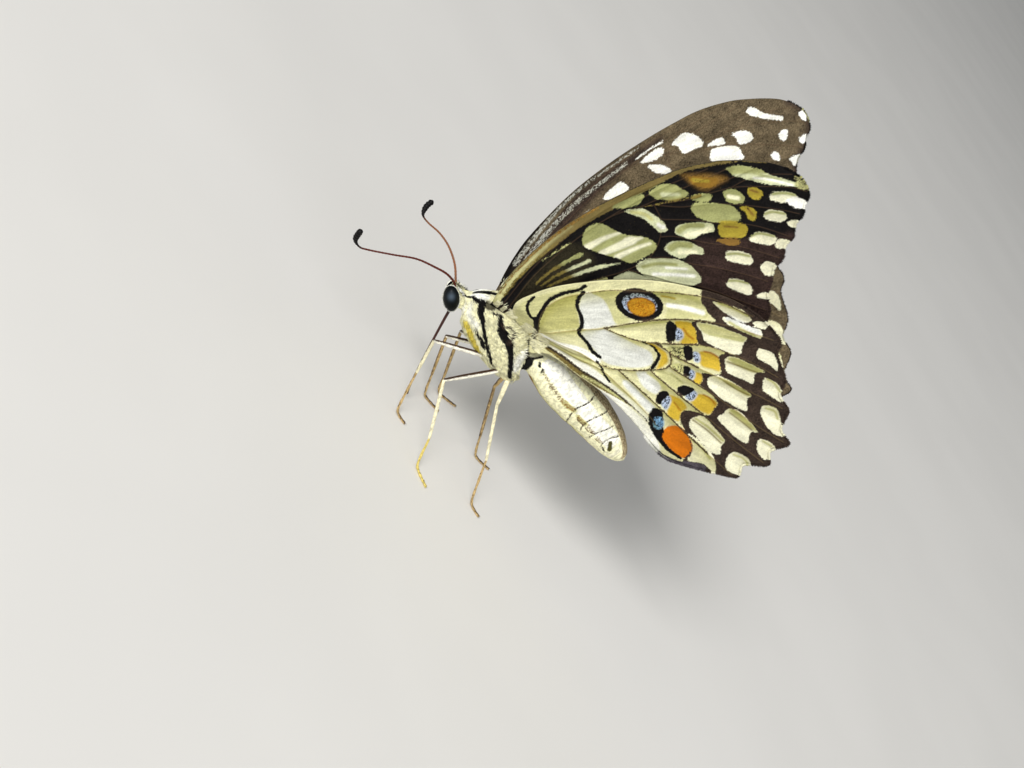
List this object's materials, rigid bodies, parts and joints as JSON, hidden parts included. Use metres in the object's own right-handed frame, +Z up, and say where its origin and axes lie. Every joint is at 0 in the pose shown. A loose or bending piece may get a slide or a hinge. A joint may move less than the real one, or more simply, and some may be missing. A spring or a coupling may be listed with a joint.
{
  "type": "swallowtail butterfly model",
  "caption": "Still, life-size chequered swallowtail butterfly without tails, standing on its feet with its wings closed over its back and its tongue lowered to feed.",
  "frame": {"origin": "on the floor, at the centre of the bounding box's underside", "axes": "+Z up, head towards -X, the animal's left side towards -Y"},
  "size_m": [0.0428, 0.0212, 0.0487],
  "materials": {
    "body_scales": "cream hair-like scales over a black ground, with black side stripes",
    "abdomen_scales": "smooth cream scales with a broken brown line and thin segment lines",
    "forewing": "scaled membrane, near black with green-cream, yellow and orange spots below and white spots above",
    "hindwing": "scaled membrane, cream and near black with orange, blue and yellow spots",
    "eye": "glossy black, finely faceted",
    "antenna": "dark red-brown, ringed, with a black club",
    "tongue": "dark brown, finely ringed",
    "leg": "cream below and dark brown above, with fine scales and spines"
  },
  "bodies": {
    "root": {"head": "body_scales", "eye_left": "eye", "eye_right": "eye", "proboscis": "tongue", "antenna_left": "antenna", "antenna_right": "antenna", "thorax": "body_scales", "abdomen": "abdomen_scales", "forewing_left": "forewing", "forewing_right": "forewing", "hindwing_left": "hindwing", "hindwing_right": "hindwing", "leg_fore_left_femur": "leg", "leg_fore_left_tibia": "leg", "leg_fore_left_tarsus": "leg", "leg_fore_right_femur": "leg", "leg_fore_right_tibia": "leg", "leg_fore_right_tarsus": "leg", "leg_mid_left_femur": "leg", "leg_mid_left_tibia": "leg", "leg_mid_left_tarsus": "leg", "leg_mid_right_femur": "leg", "leg_mid_right_tibia": "leg", "leg_mid_right_tarsus": "leg", "leg_hind_left_femur": "leg", "leg_hind_left_tibia": "leg", "leg_hind_left_tarsus": "leg", "leg_hind_right_femur": "leg", "leg_hind_right_tibia": "leg", "leg_hind_right_tarsus": "leg"}
  },
  "joints": []
}
